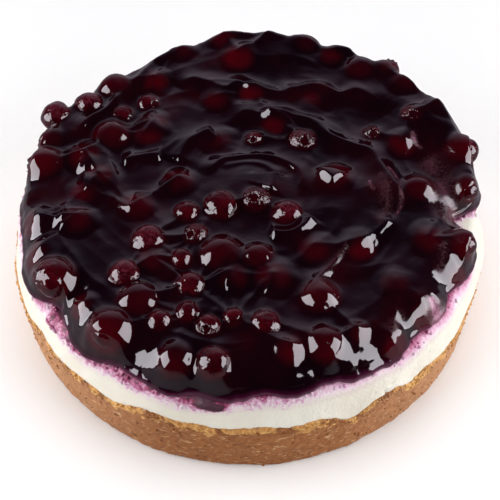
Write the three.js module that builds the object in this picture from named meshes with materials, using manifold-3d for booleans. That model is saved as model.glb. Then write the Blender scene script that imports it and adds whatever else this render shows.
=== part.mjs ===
// A mini cheesecake under a thick blueberry topping, in millimetres, +Z up.
// The origin is the centre of its underside, on the surface that it stands on.
// A pressed biscuit crust carries a layer of set cream filling, and a swirled, poured
// glaze lies on that, with the berries that show bedded in pockets of their own size.

import * as THREE from "three";
import { mergeVertices } from "three/addons/utils/BufferGeometryUtils.js";
import Module from "manifold-3d";

// ---- driving dimensions ----

const gap = 0.3; // between pieces that touch

const footRadius = 60; // crust, at the foot of its wall
const shoulderRadius = 60.7; // crust and filling, where they meet at the wall
const crustHeight = 16.4;
const crustRound = 0.7; // worn corner round the foot

const fillingTop = 26.3;
const fillingRadius = 58.9; // upper end of the filling's wall
const fillingRound = 3.2; // rounding of its top edge

const glazeRadius = 58; // mean outline of the glaze on the filling
const glazeDepth = 7; // mean level over the filling
const beadWidth = 1.8; // of the rounded bead along its edge
const beadShare = 0.22; // of its depth that the bead takes
const slopeFront = 8.5; // over which it climbs to its full depth, at the front
const slopeBack = 5; // and at the back
const lipOverhang = 0.5; // by which the bead bulges past the outline
const lipRise = 1; // height of that bulge over its foot
const furthestFoot = 58.2; // beyond this the glaze hangs over the filling's edge

const berryFlatness = 0.88; // height of a berry over its width
const bedDepth = 1.1; // glaze left under the deepest pocket

const rimSides = 96; // sides of every outer ring
const shortestEdge = 0.01; // below which an edge left by a cut is closed up

// The broken top edge of the crust: [angle, rise in mm, half-width in degrees].
const crustBreaks = [
  [214, 1.8, 4], [223, -0.8, 4], [232, 0.3, 4], [239, -0.9, 3], [249, 2.6, 6],
  [259, 1.5, 4], [267, 0.5, 4], [273, 1.9, 5], [285, 1.8, 5], [293, -2.5, 4],
  [303, 1.4, 4], [309, -1.2, 3], [321, -1.7, 4], [328, -2.4, 4], [337, 0.6, 4],
  [349, 1.5, 6], [2, -1.2, 5], [15, 1.7, 5], [27, -1.6, 4], [38, 0.9, 5],
  [52, 1.6, 5], [64, -1.4, 4], [77, 1.2, 6], [91, -1.9, 4], [103, 1.3, 6],
  [118, 0.7, 4], [129, -1.5, 5], [143, 1.6, 6], [158, -1, 4], [170, 1.5, 5],
  [184, -1.7, 5], [197, 0.8, 5],
];

// Where the glaze stops short of its mean outline or runs past it, in the same terms.
const glazeShores = [
  [3, 1.4, 4], [12, 2, 8], [22, 3.8, 8], [33, 1.8, 6], [40, 1.2, 8], [54, 1.2, 10],
  [78, 1.6, 14], [100, 1.3, 12],
  [126, -0.8, 9], [150, 1.2, 8], [172, -0.6, 7], [192, -1, 7], [207, 1.2, 5],
  [217.5, -3, 5.2], [230, 0.8, 4], [241, -0.9, 5], [253, 0.8, 4], [262, -0.2, 4],
  [274, -1.5, 4], [288, -1.4, 5], [302, -0.2, 5], [315, -1.5, 6], [329, -2.2, 4],
  [341, 0.4, 4], [353, -5.8, 3.4],
];

// Broad swells of its level: [distance from the centre, angle, rise, half-width].
const swells = [
  [57, 93, 4, 21], [55, 50, 3.8, 14], [50, 152, 1.2, 12], [53, 24, 4.5, 11],
  [57, 74, 2.2, 11], [58, 4, 2.6, 5], [56, 350, -3, 6], [1.5, 270, 1.6, 8],
  [30, 330, -0.8, 14], [46, 300, -1, 12], [20, 150, -0.6, 8], [42, 10, -0.6, 10],
];

// Ridges left by the spoon: from [angle, distance] to [angle, distance], rise, half-width.
const ridges = [
  [[166, 11.3], [14, 13.2], 1.2, 1.9],
  [[106, 23.7], [40, 27.2], 1.7, 2],
  [[40, 27.2], [343, 37], 1.9, 2.2],
  [[78, 33.6], [32, 44], 1.6, 2.2],
  [[120, 41], [98, 35], 1.4, 2],
  [[158, 20], [112, 20.4], 1.3, 2],
  [[170, 34], [155, 23.5], 1.3, 2],
  [[168, 49], [141, 45.6], 1.7, 2.2],
  [[141, 45.6], [112, 53], 1.6, 2.4],
];

// Berries sunk in the glaze, which swells over them: [distance, angle, width, rise].
const sunkBerries = [
  [17.4, 176, 8, 1.6], [29.6, 263, 9, 1.6], [30, 281, 9.4, 1.7], [26.5, 307, 8, 1.4],
  [49.8, 281, 6, 0.9], [52, 225, 6, 1], [43.2, 196, 9, 1.8], [40.1, 184, 8.6, 1.4],
  [52.8, 192, 7.4, 1.3], [53.3, 204, 8.4, 1.7], [42.6, 167, 9.4, 1.7], [28.1, 195, 7.4, 1.3],
  [46.6, 124, 8.6, 1.6], [46.8, 93, 8.6, 1.4], [18, 114, 8.4, 1.4], [23, 71, 8, 1.3],
  [53, 63, 8, 1.4], [33.1, 88, 6, 0.9], [32.3, 105, 7.2, 1.3], [36, 60, 9.4, 1.5],
  [55.4, 40, 8.4, 2.1], [42.2, 19, 7, 1.2], [58, 27, 8.4, 1.6], [54.7, 333, 6.4, 1],
  [21.9, 4, 8.6, 1.6], [53.7, 317, 7.4, 1], [55.5, 306, 6, 0.8], [50.2, 299, 5, 0.8],
  [46.9, 338, 8.4, 1.4], [50.4, 354, 6, 1.2], [54, 110, 7.2, 1.2], [55, 97, 8, 1.3],
  [33, 323, 8, 0.8], [33.5, 228, 7, 0.8], [31.5, 146, 8, 1], [46, 318, 8, 0.7],
  [57.4, 61, 7.6, 2.2], [57.6, 83, 8, 1], [33.2, 139, 8, 1.2], [37.4, 176, 9, 1.3],
];

// Berries that stand out of the glaze: [distance, angle, width, lift of the middle over
// the mean level, tilt of the crown away from straight up, way that it leans].
const berries = [
  [9.8, 228.5, 8.8, 0.8, 150, 60], [6, 290, 7.8, 1, 20, 250], [13.8, 314, 8.2, 0.6, 140, 20],
  [17.6, 212, 7, 0.4, 25, 240], [20.9, 234, 6.4, 0.8, 35, 215], [23.5, 255, 8.8, 0, 120, 320],
  [23.8, 276, 5.8, 1, 150, 80], [34.5, 247.5, 8.2, -0.2, 60, 205], [42, 251.5, 5.8, 1.1, 25, 290],
  [44.2, 258.8, 5.8, 0.8, 46, 260], [41.4, 265.8, 5.2, 0.9, 130, 120], [42.5, 275.5, 7.6, 0, 140, 240],
  [38.6, 295.5, 7, 0.2, 45, 230], [52.8, 262, 8, -0.4, 50, 235], [53.2, 253, 6.4, -1.1, 30, 300],
  [50.3, 290, 6.8, -0.6, 40, 250], [43.8, 235.5, 8, 0, 65, 190], [46.3, 245, 5.4, 1, 30, 270],
  [53.2, 235, 8.6, -0.6, 150, 100], [40.3, 225, 8, 0.4, 40, 200], [53.6, 213, 9.2, -0.8, 75, 195],
  [29.8, 218, 8.8, 0.4, 35, 225], [52.8, 171.5, 8.8, 0.2, 80, 185], [57.2, 153.5, 8.4, 1.2, 35, 215],
  [54.6, 162, 6.6, -0.2, 110, 170], [52, 145.5, 8.2, 1.6, 160, 300], [51.4, 135, 8.2, 1.2, 60, 190],
  [42.2, 143, 7, 0.4, 75, 330], [39.8, 153.8, 8, 0.6, 30, 20], [40.3, 131.5, 7.2, 0.2, 45, 330],
  [21.2, 47, 8.4, 0.4, 30, 280], [55.8, 73, 8, 2.2, 150, 200], [51.8, 53, 7.2, 3, 110, 280],
  [56.8, 47, 7, 3.2, 60, 60], [49.2, 27.5, 7, 3.4, 30, 255], [37.4, 28, 7.2, 0.2, 15, 250],
  [56.9, 12, 8.2, 1.4, 160, 90], [42.8, 358, 6.6, 0.6, 100, 250], [55.4, 359.5, 5.6, 0, 140, 200],
  [55, 340.5, 6.6, -0.2, 120, 220], [16.5, 84, 5, 1.1, 40, 260], [28.8, 237.5, 5.4, 1.2, 140, 60],
];

// ---- shapes ----

const degrees = Math.PI / 180;

function at(radius, angle, height) {
  return new THREE.Vector3(radius * Math.cos(angle * degrees), radius * Math.sin(angle * degrees), height);
}

function turnBetween(first, second) {
  return ((((first - second) % 360) + 540) % 360) - 180;
}

// The sum of smooth rises round the rim, each [angle, rise, half-width].
function rimRise(angle, rises) {
  return rises.reduce((sum, [middle, rise, width]) => {
    return sum + rise * Math.exp(-((turnBetween(angle, middle) / width) ** 2));
  }, 0);
}

// Slow waves of the crust's wall. Their counts are even, so that opposite sides match.
function wallWave(angle) {
  return 0.16 * Math.cos((4 * angle + 20) * degrees) + 0.12 * Math.cos((10 * angle + 75) * degrees);
}

// One ring of points round the axis, placed by a function of the angle.
function ring(sides, place) {
  return Array.from({ length: sides }, (_, k) => place((360 * k) / sides));
}

function distanceOut(point) {
  return Math.hypot(point.x, point.y);
}

// A closed body from rings that run from the middle of its underside, out and up its
// wall and back to the middle of its top. Neighbouring rings may differ in their sides.
// An underside's faces are split along the same diagonals as the top that it lies on.
function bodyOfRings(rings) {
  const starts = [0];
  for (const points of rings) starts.push(starts.at(-1) + points.length);
  const faces = [];
  for (let k = 0; k + 1 < rings.length; k += 1) {
    const lower = rings[k].length;
    const upper = rings[k + 1].length;
    const steps = Math.max(lower, upper);
    const outward = distanceOut(rings[k + 1][0]) > distanceOut(rings[k][0]);
    for (let j = 0; j < steps; j += 1) {
      const low = starts[k] + Math.floor((j * lower) / steps);
      const lowNext = starts[k] + (Math.floor(((j + 1) * lower) / steps) % lower);
      const high = starts[k + 1] + Math.floor((j * upper) / steps);
      const highNext = starts[k + 1] + (Math.floor(((j + 1) * upper) / steps) % upper);
      if (low !== lowNext) faces.push(low, lowNext, outward ? highNext : high);
      if (high !== highNext) faces.push(outward ? low : lowNext, highNext, high);
    }
  }
  const geometry = new THREE.BufferGeometry();
  const positions = rings.flat().flatMap((point) => point.toArray());
  geometry.setAttribute("position", new THREE.Float32BufferAttribute(positions, 3));
  geometry.setIndex(faces);
  return geometry;
}

// The level of the crust's top, which is broken only near the rim.
function crustLevel(radius, angle) {
  const nearRim = THREE.MathUtils.smoothstep(radius, 52, shoulderRadius - 0.8);
  return crustHeight + 0.6 + nearRim * (rimRise(angle, crustBreaks) - 0.3);
}

function crustBody() {
  const foot = (angle) => footRadius + wallWave(angle);
  const shoulder = (angle) => shoulderRadius + wallWave(angle);
  const top = (radius) => (angle) => at(radius, angle, crustLevel(radius, angle));
  return bodyOfRings([
    [at(0, 0, 0)],
    ring(rimSides / 4, (angle) => at(30, angle, 0)),
    ring(rimSides, (angle) => at(foot(angle) - crustRound, angle, 0)),
    ring(rimSides, (angle) => at(foot(angle), angle, crustRound)),
    ring(rimSides, (angle) => at(shoulder(angle), angle, crustLevel(shoulderRadius, angle) - 0.5)),
    ring(rimSides, (angle) => at(shoulder(angle) - 0.7, angle, crustLevel(shoulderRadius, angle))),
    ring(rimSides / 2, top(52)),
    ring(rimSides / 4, top(30)),
    [at(0, 0, crustLevel(0, 0))],
  ]);
}

// The height of the filling's top, or of what lies the given distance above it: flat in
// the middle and rounded down at the edge.
function fillingLevel(radius, angle, above = 0) {
  const over = Math.max(0, radius - wallWave(angle) - (fillingRadius - fillingRound));
  const bend = fillingRound + above;
  return fillingTop - fillingRound + Math.sqrt(Math.max(0, bend ** 2 - over ** 2));
}

function fillingBody() {
  const shoulder = (angle) => shoulderRadius + wallWave(angle);
  const under = (radius) => (angle) => at(radius, angle, crustLevel(radius, angle) + gap);
  const edge = (turn) => (angle) => {
    const radius = fillingRadius + wallWave(angle) - fillingRound * (1 - Math.cos(turn * degrees));
    return at(radius, angle, fillingTop - fillingRound * (1 - Math.sin(turn * degrees)));
  };
  return bodyOfRings([
    [at(0, 0, crustLevel(0, 0) + gap)],
    ring(rimSides / 4, under(30)),
    ring(rimSides / 2, under(52)),
    ring(rimSides, (angle) => at(shoulder(angle) - 0.7, angle, crustLevel(shoulderRadius, angle) + gap)),
    ring(rimSides, (angle) => at(shoulder(angle) - 0.1, angle, crustLevel(shoulderRadius, angle) + gap + 0.2)),
    ring(rimSides, edge(0)),
    ring(rimSides, edge(32)),
    ring(rimSides, edge(62)),
    ring(rimSides, edge(90)),
    ring(rimSides / 4, (angle) => at(30, angle, fillingTop)),
    [at(0, 0, fillingTop)],
  ]);
}

// The rise of one spoon ridge at a place, fading towards both of its ends.
function ridgeRise(radius, angle, [from, to, rise, width]) {
  const along = turnBetween(angle, from[0]) / turnBetween(to[0], from[0]);
  const away = radius - THREE.MathUtils.lerp(from[1], to[1], THREE.MathUtils.clamp(along, 0, 1));
  const fade = THREE.MathUtils.smoothstep(along, -0.12, 0.12) * (1 - THREE.MathUtils.smoothstep(along, 0.88, 1.12));
  return rise * fade * Math.exp(-((away / width) ** 2));
}

// The rise of one round swell, dome-shaped where the exponent is high.
function domeRise(place, [distance, angle, rise, reach], exponent) {
  const away = place.distanceTo(at(distance, angle, 0)) / reach;
  return rise * Math.exp(-(away ** exponent));
}

function glazeOutline(angle) {
  return glazeRadius + rimRise(angle, glazeShores);
}

// The share of its depth that the glaze has at a distance inside its outline: a rounded
// bead at the very edge, then a slope that is longest at the front.
function edgeShare(within, angle) {
  const front = THREE.MathUtils.smoothstep(0.5 - 0.5 * Math.sin(angle * degrees), 0.3, 0.8);
  const slopeWidth = THREE.MathUtils.lerp(slopeBack, slopeFront, front);
  const bead = Math.sqrt(1 - (1 - Math.min(within / beadWidth, 1)) ** 2);
  const slope = 1 - (1 - Math.min(within / slopeWidth, 1)) ** 2;
  return beadShare * bead + (1 - beadShare) * slope;
}

// The height of the glaze's top: its depth with swells, ridges and sunk berries, falling
// to its outline.
function glazeLevel(radius, angle) {
  const place = at(radius, angle, 0);
  const broad = swells.reduce((sum, swell) => sum + domeRise(place, swell, 2), glazeDepth);
  const spooned = ridges.reduce((sum, ridge) => sum + ridgeRise(radius, angle, ridge), broad);
  const depth = sunkBerries.reduce((sum, [distance, turn, width, rise]) => {
    return sum + domeRise(place, [distance, turn, rise, 0.52 * width], 2.6);
  }, spooned);
  const floor = fillingLevel(Math.min(radius, furthestFoot), angle, gap);
  return floor + depth * edgeShare(Math.max(glazeOutline(angle) - radius, 0), angle);
}

function glazeBody() {
  const foot = (setBack) => (angle) => {
    const radius = Math.min(glazeOutline(angle), furthestFoot) - setBack;
    return at(radius, angle, fillingLevel(radius, angle, gap));
  };
  const insideEdge = (setBack) => (angle) => {
    const radius = glazeOutline(angle) - setBack;
    return at(radius, angle, glazeLevel(radius, angle));
  };
  const innermost = 4.6; // set-back of the last ring that follows the outline
  const swirl = (sides, distance) => ring(sides, (angle) => {
    const radius = Math.min(distance, glazeOutline(angle) - innermost - 1);
    return at(radius, angle, glazeLevel(radius, angle));
  });
  const lip = (angle) => at(glazeOutline(angle) + lipOverhang, angle, foot(0)(angle).z + lipRise);
  return bodyOfRings([
    [at(0, 0, fillingTop + gap)],
    ring(rimSides / 4, (angle) => at(30, angle, fillingTop + gap)),
    ring(rimSides / 2, (angle) => at(48, angle, fillingTop + gap)),
    ring(rimSides, foot(2.4)),
    ring(rimSides, foot(1.2)),
    ring(rimSides, foot(0)),
    ring(rimSides, lip),
    ring(rimSides, insideEdge(0.6)),
    ring(rimSides, insideEdge(2.2)),
    ring(rimSides, insideEdge(innermost)),
    ...[49.4, 46.1, 42.8, 39.5, 36.2, 32.9].map((radius) => swirl(rimSides, radius)),
    ...[29.6, 26.3, 23, 19.7, 16.4].map((radius) => swirl(rimSides / 2, radius)),
    ...[13.1, 9.6, 5.2].map((radius) => swirl(rimSides / 4, radius)),
    [at(0, 0, glazeLevel(0, 0))],
  ]);
}

// A blueberry: a flattened ball with the worn, dished crown at one end.
function berryGeometry(width) {
  const across = width / 2;
  const up = across * berryFlatness;
  const profile = [
    [0, -1], [0.68, -0.74], [1, -0.06], [0.8, 0.64], [0.42, 1], [0.28, 0.84], [0, 0.78],
  ].map(([x, y]) => new THREE.Vector2(x * across, y * up));
  return new THREE.LatheGeometry(profile, 8).rotateX(Math.PI / 2);
}

// Puts a berry in its place, with its crown tilted and leaning the way that it should.
function placeBerry(object, [distance, angle, width, lift, tilt, lean]) {
  const deepest = fillingTop + 2 * gap + bedDepth + width / 2;
  const middle = Math.max(fillingTop + glazeDepth - 1 + lift, deepest);
  object.position.copy(at(distance, angle, middle));
  const leanAxis = at(1, lean + 90, 0);
  object.quaternion.setFromAxisAngle(leanAxis, tilt * degrees);
  object.updateMatrix();
}

// ---- joins and cuts ----

const wasm = await Module();
wasm.setup();

function solidOf(geometry) {
  const bare = geometry.clone();
  bare.deleteAttribute("normal");
  bare.deleteAttribute("uv");
  const merged = mergeVertices(bare, 1e-4);
  const vertProperties = new Float32Array(merged.attributes.position.array);
  const triVerts = new Uint32Array(merged.index.array);
  return new wasm.Manifold(new wasm.Mesh({ numProp: 3, vertProperties, triVerts }));
}

function geometryOf(solid) {
  const mesh = solid.getMesh();
  const geometry = new THREE.BufferGeometry();
  geometry.setAttribute("position", new THREE.Float32BufferAttribute(mesh.vertProperties, 3));
  geometry.setIndex(Array.from(mesh.triVerts));
  return geometry;
}

// The glaze with a pocket for each berry, wider than the berry by the gap all round.
function pocketedGlaze() {
  return berries.reduce((solid, berry) => {
    const tool = new THREE.Object3D();
    placeBerry(tool, berry);
    tool.scale.setScalar(1 + (2 * gap) / (0.86 * berry[2] * berryFlatness));
    tool.updateMatrix();
    return solid.subtract(solidOf(berryGeometry(berry[2]).applyMatrix4(tool.matrix)));
  }, solidOf(glazeBody())).simplify(shortestEdge);
}

// ---- assembly ----

const crustFinish = { color: 0x9a6438, roughness: 0.9, metalness: 0 };
const fillingFinish = { color: 0xf4f0e2, roughness: 0.6, metalness: 0 };
const glazeFinish = { color: 0x1c060e, roughness: 0.12, metalness: 0 };
const berryFinish = { color: 0x3d0710, roughness: 0.2, metalness: 0 };

const cheesecake = new THREE.Group();

function addPiece(name, geometry, finish) {
  const shaded = geometry.index ? geometry.toNonIndexed() : geometry;
  shaded.computeVertexNormals();
  const mesh = new THREE.Mesh(shaded, new THREE.MeshStandardMaterial(finish));
  mesh.name = name;
  cheesecake.add(mesh);
  return mesh;
}

addPiece("crust", crustBody(), crustFinish);
addPiece("filling", fillingBody(), fillingFinish);
addPiece("glaze", geometryOf(pocketedGlaze()), glazeFinish);
berries.forEach((berry, k) => {
  const name = `berry_${String(k + 1).padStart(2, "0")}`;
  placeBerry(addPiece(name, berryGeometry(berry[2]), berryFinish), berry);
});

export default cheesecake;
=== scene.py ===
# A mini cheesecake under a swirled blueberry topping, seen as in a food studio.
# The sections follow the cake as it is put together: the set, the crust and its crumbs, the
# filling and its stain, the berries that stand out, and the glaze that holds them.
# Lengths are in millimetres and angles in degrees; make_mesh turns them into metres.

import math

import bpy
import numpy as np
from mathutils import Matrix, Vector, kdtree, noise


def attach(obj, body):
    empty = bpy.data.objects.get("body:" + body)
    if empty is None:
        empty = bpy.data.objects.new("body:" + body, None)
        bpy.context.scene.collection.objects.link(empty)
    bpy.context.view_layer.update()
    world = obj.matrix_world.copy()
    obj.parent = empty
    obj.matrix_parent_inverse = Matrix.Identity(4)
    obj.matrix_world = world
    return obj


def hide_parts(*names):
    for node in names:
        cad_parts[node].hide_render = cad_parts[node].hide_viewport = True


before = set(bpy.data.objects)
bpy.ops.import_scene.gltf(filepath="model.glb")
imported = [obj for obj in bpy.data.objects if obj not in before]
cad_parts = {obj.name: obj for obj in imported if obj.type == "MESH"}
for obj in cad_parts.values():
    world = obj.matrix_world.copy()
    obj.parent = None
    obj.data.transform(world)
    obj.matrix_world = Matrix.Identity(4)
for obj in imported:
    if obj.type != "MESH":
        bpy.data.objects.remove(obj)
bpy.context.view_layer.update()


# ---- The set: a pale floor, two softboxes low at the sides and a dim, even room. ----
# The camera looks down at 50 degrees, near enough for the far rim to be smaller. The softboxes
# are what the wet gel mirrors as hard-edged pale patches, and the room gives its grey sheen.

METRES = 0.001
camera_aim = Vector((0.66, 0, 8.16))
camera_distance = 258
camera_elevation = 50
camera_lens = 68.44

# Azimuth, elevation, distance, width and height of each softbox, then its radiance as it lights
# and as it shines in what is wet. Each is a lamp of its own, the second one a little nearer.
softboxes = {
    "left": (194, 24, 420, 450, 300, 4.0, 8.6),
    "right": (-14, 24, 420, 450, 300, 4.0, 8.6),
    "overhead": (90, 80, 900, 900, 900, 1.9, 0),
}
lamp_gap = 4
lighting_tint = (0.97, 0.98, 1.0)
gleam_tint = (1.0, 0.955, 1.02)

# The room from its front to its back wall, as the cake sees it.
room_tones = [(0.0, "#1d1a20"), (0.25, "#3d3743"), (0.5, "#6b6073"), (1.0, "#c8bacb")]
back_wall_from = 0.35

# The floor's paper, which is darker where the gel mirrors it. From floor_fade outwards the
# camera sees it plain white, as far as the room.
floor_radius = 2500
floor_fade = (250, 800)
paper_white = "#fffefc"
paper_in_gel = "#9a949a"


def linear(colour):
    """An sRGB hex colour as linear red, green, blue and alpha."""
    parts = [int(colour[k:k + 2], 16) / 255 for k in (1, 3, 5)]
    return [p / 12.92 if p <= 0.04045 else ((p + 0.055) / 1.055) ** 2.4 for p in parts] + [1.0]


def add(tree, kind, inputs=None, stops=None, **settings):
    """Adds a node to a tree. An input, by name or number, is a value or another node's output."""
    node = tree.nodes.new(kind)
    for name, value in settings.items():
        setattr(node, name, value)
    for key, value in (inputs or {}).items():
        if isinstance(value, bpy.types.NodeSocket):
            tree.links.new(value, node.inputs[key])
        else:
            node.inputs[key].default_value = value
    if stops:
        elements = node.color_ramp.elements
        while len(elements) < len(stops):
            elements.new(0.5)
        for element, (position, colour) in zip(elements, stops):
            element.position = position
            element.color = linear(colour)
    return node


def new_material(name):
    """An empty material with its shader, and that shader's tree."""
    material = bpy.data.materials.new(name)
    material.use_nodes = True
    tree = material.node_tree
    shader = tree.nodes["Principled BSDF"]
    return material, tree, shader


def towards(azimuth, elevation):
    """The unit direction at an azimuth from +X and an elevation."""
    turn, rise = math.radians(azimuth), math.radians(elevation)
    return Vector((math.cos(turn) * math.cos(rise), math.sin(turn) * math.cos(rise), math.sin(rise)))


camera_data = bpy.data.cameras.new("camera")
camera_data.lens = camera_lens
camera = bpy.data.objects.new("camera", camera_data)
camera.location = (camera_aim + camera_distance * towards(-90, camera_elevation)) * METRES
camera.rotation_euler = (math.radians(90 - camera_elevation), 0, 0)
bpy.context.collection.objects.link(camera)
bpy.context.scene.camera = camera
bpy.context.scene.view_settings.view_transform = "Standard"

for side, (azimuth, elevation, distance, width, height, lighting, gleam) in softboxes.items():
    away = towards(azimuth, elevation)
    uses = (("lighting", lighting, lighting_tint, 0), ("gleam", gleam, gleam_tint, lamp_gap))
    for use, radiance, tint, nearer in uses:
        if radiance == 0:
            continue
        light = bpy.data.lights.new(f"softbox_{side}_{use}", "AREA")
        light.shape = "RECTANGLE"
        light.size = width * METRES
        light.size_y = height * METRES
        light.energy = radiance * math.pi * light.size * light.size_y
        light.color = tint
        lamp = bpy.data.objects.new(light.name, light)
        lamp.location = away * (distance - nearer) * METRES
        lamp.rotation_euler = away.to_track_quat("Z", "Y").to_euler()
        lamp.visible_glossy = use == "gleam"
        lamp.visible_diffuse = use == "lighting"
        bpy.context.collection.objects.link(lamp)

room = bpy.data.worlds.new("room")
room.use_nodes = True
room_tree = room.node_tree
outwards = add(room_tree, "ShaderNodeTexCoord").outputs["Generated"]
behind = add(room_tree, "ShaderNodeSeparateXYZ", {0: outwards}).outputs["Y"]
depth = add(room_tree, "ShaderNodeMapRange", {0: behind, 1: back_wall_from, 2: 1.0}).outputs[0]
walls = add(room_tree, "ShaderNodeValToRGB", {0: depth}, room_tones).outputs[0]
seen = add(room_tree, "ShaderNodeLightPath").outputs["Is Camera Ray"]
backdrop = add(room_tree, "ShaderNodeMix", {0: seen, 6: walls, 7: linear(paper_white)},
               data_type="RGBA").outputs[2]
room_tree.links.new(backdrop, room_tree.nodes["Background"].inputs["Color"])
bpy.context.scene.world = room

floor_mesh = bpy.data.meshes.new("floor")
corners = [towards(turn, 0) * floor_radius * METRES for turn in range(0, 360, 6)]
floor_mesh.from_pydata([tuple(corner) for corner in corners], [], [list(range(len(corners)))])
floor = bpy.data.objects.new("floor", floor_mesh)
bpy.context.collection.objects.link(floor)
paper, paper_tree, paper_shader = new_material("matt_white_paper")
ray = add(paper_tree, "ShaderNodeLightPath").outputs
paper_colour = add(paper_tree, "ShaderNodeMix", {
    0: ray["Is Glossy Ray"], 6: linear(paper_white), 7: linear(paper_in_gel),
}, data_type="RGBA").outputs[2]
paper_tree.links.new(paper_colour, paper_shader.inputs["Base Color"])
paper_spot = add(paper_tree, "ShaderNodeTexCoord").outputs["Object"]
far_off = add(paper_tree, "ShaderNodeVectorMath", {0: paper_spot}, operation="LENGTH").outputs["Value"]
fade_start, fade_end = (length * METRES for length in floor_fade)
faded = add(paper_tree, "ShaderNodeMapRange", {0: far_off, 1: fade_start, 2: fade_end}).outputs[0]
bright = add(paper_tree, "ShaderNodeMath", {0: faded, 1: ray["Is Camera Ray"]},
             operation="MULTIPLY").outputs[0]
paper_tree.links.new(bright, paper_shader.inputs["Emission Strength"])
paper_shader.inputs["Emission Color"].default_value = linear(paper_white)
paper_shader.inputs["Roughness"].default_value = 0.9
paper_shader.inputs["Specular IOR Level"].default_value = 0
floor_mesh.materials.append(paper)


# ---- The crust: crushed biscuit and butter, pressed into a disc and baked. ----
# Its wall is as the tin left it, packed and speckled, with a few chips. Its upper edge was
# never covered: it is broken, loose and golden, and the filling lies on it.

foot_radius = 60
shoulder_radius = 60.7
crust_height = 17
foot_round = 0.7
edge_round = 0.55
chip_depth = 0.15
crust_sides = 720
wall_rows = 40

# Packed crumbs on the wall, and single ones along the broken edge: height, size, seed.
wall_relief = [(0.3, 7, 1), (0.2, 2, 5), (0.16, 0.9, 9)]
edge_relief = [(0.55, 2.4, 3), (0.4, 1.0, 8)]

# The loose crumbs: how many to a square millimetre, their sizes, and how dense they lie on the
# wall as against under the edge, down to crumb_reach below it.
crumb_density = 3.2
crumb_sizes = (0.35, 1.2)
wall_crumbs = 0.04
crumb_reach = 3.4

# Where the edge rises and falls: angle, rise, half-width.
crust_breaks = [
    (214, 1.8, 4), (223, -0.8, 4), (232, 0.3, 4), (239, -0.9, 3), (249, 2.6, 6),
    (259, 1.5, 4), (267, 0.5, 4), (273, 1.9, 5), (285, 1.8, 5), (293, -2.5, 4),
    (303, 1.4, 4), (309, -1.2, 3), (321, -1.7, 4), (328, -2.4, 4), (337, 0.6, 4),
    (349, 1.5, 6), (2, -1.2, 5), (15, 1.7, 5), (27, -1.6, 4), (38, 0.9, 5),
    (52, 1.6, 5), (64, -1.4, 4), (77, 1.2, 6), (91, -1.9, 4), (103, 1.3, 6),
    (118, 0.7, 4), (129, -1.5, 5), (143, 1.6, 6), (158, -1, 4), (170, 1.5, 5),
    (184, -1.7, 5), (197, 0.8, 5),
]


def rim_rise(angle, rises):
    """The sum of smooth rises round the rim, each with its angle, rise and half-width."""
    total = np.zeros_like(angle)
    for middle, rise, width in rises:
        turn = (angle - middle + 180) % 360 - 180
        total += rise * np.exp(-((turn / width) ** 2))
    return total


def wall_wave(angle):
    """The slow waves of the wall that crust and filling share."""
    turn = np.radians(angle)
    return 0.16 * np.cos(4 * turn + math.radians(20)) + 0.12 * np.cos(10 * turn + math.radians(75))


def place(radius, angle, height):
    """Points at distances from the axis, angles and heights."""
    turn = np.radians(angle)
    return np.stack(np.broadcast_arrays(radius * np.cos(turn), radius * np.sin(turn), height), axis=-1)


def lumps(points, size, seed=0.0):
    """Smooth noise from about -1 to 1, with lumps of about the given size."""
    return np.array([noise.noise(Vector(point)) for point in points / size + seed])


def relief(points, layers):
    """The sum of layers of lumps, each with its height, its size and its seed."""
    return sum(height * lumps(points, size, seed) for height, size, seed in layers)


def polar(points):
    """Each point's distance from the axis and its angle."""
    return np.hypot(points[:, 0], points[:, 1]), np.degrees(np.arctan2(points[:, 1], points[:, 0])) % 360


def ease(value, low, high):
    """Rises smoothly from 0 at low to 1 at high."""
    share = np.clip((value - low) / (high - low), 0, 1)
    return share * share * (3 - 2 * share)


def round_angles(sides):
    """The angles of a ring's points."""
    return np.arange(sides) * 360 / sides


def ring_faces(counts):
    """The faces between rings of points that run from the middle underneath to the middle on top.
    Neighbouring rings may differ in their sides, and a ring of one point is a pole."""
    starts = np.concatenate([[0], np.cumsum(counts)])
    faces = []
    for start, lower, top_start, upper in zip(starts, counts, starts[1:], counts[1:]):
        steps = max(lower, upper)
        here, following = np.arange(steps), np.arange(1, steps + 1)
        corners = np.stack([
            start + here * lower // steps,
            start + following * lower // steps % lower,
            top_start + following * upper // steps % upper,
            top_start + here * upper // steps,
        ], axis=1)
        faces += [list(dict.fromkeys(corner)) for corner in corners.tolist()]
    return faces


def make_mesh(name, points, faces, attributes=None):
    """A smooth object from points in millimetres, with one number a point for each attribute."""
    mesh = bpy.data.meshes.new(name)
    mesh.from_pydata((np.asarray(points) * METRES).tolist(), [], faces)
    for label, values in (attributes or {}).items():
        mesh.attributes.new(label, "FLOAT", "POINT").data.foreach_set("value", values.astype(np.float32))
    mesh.shade_smooth()
    piece = bpy.data.objects.new(name, mesh)
    bpy.context.collection.objects.link(piece)
    return piece


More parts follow.
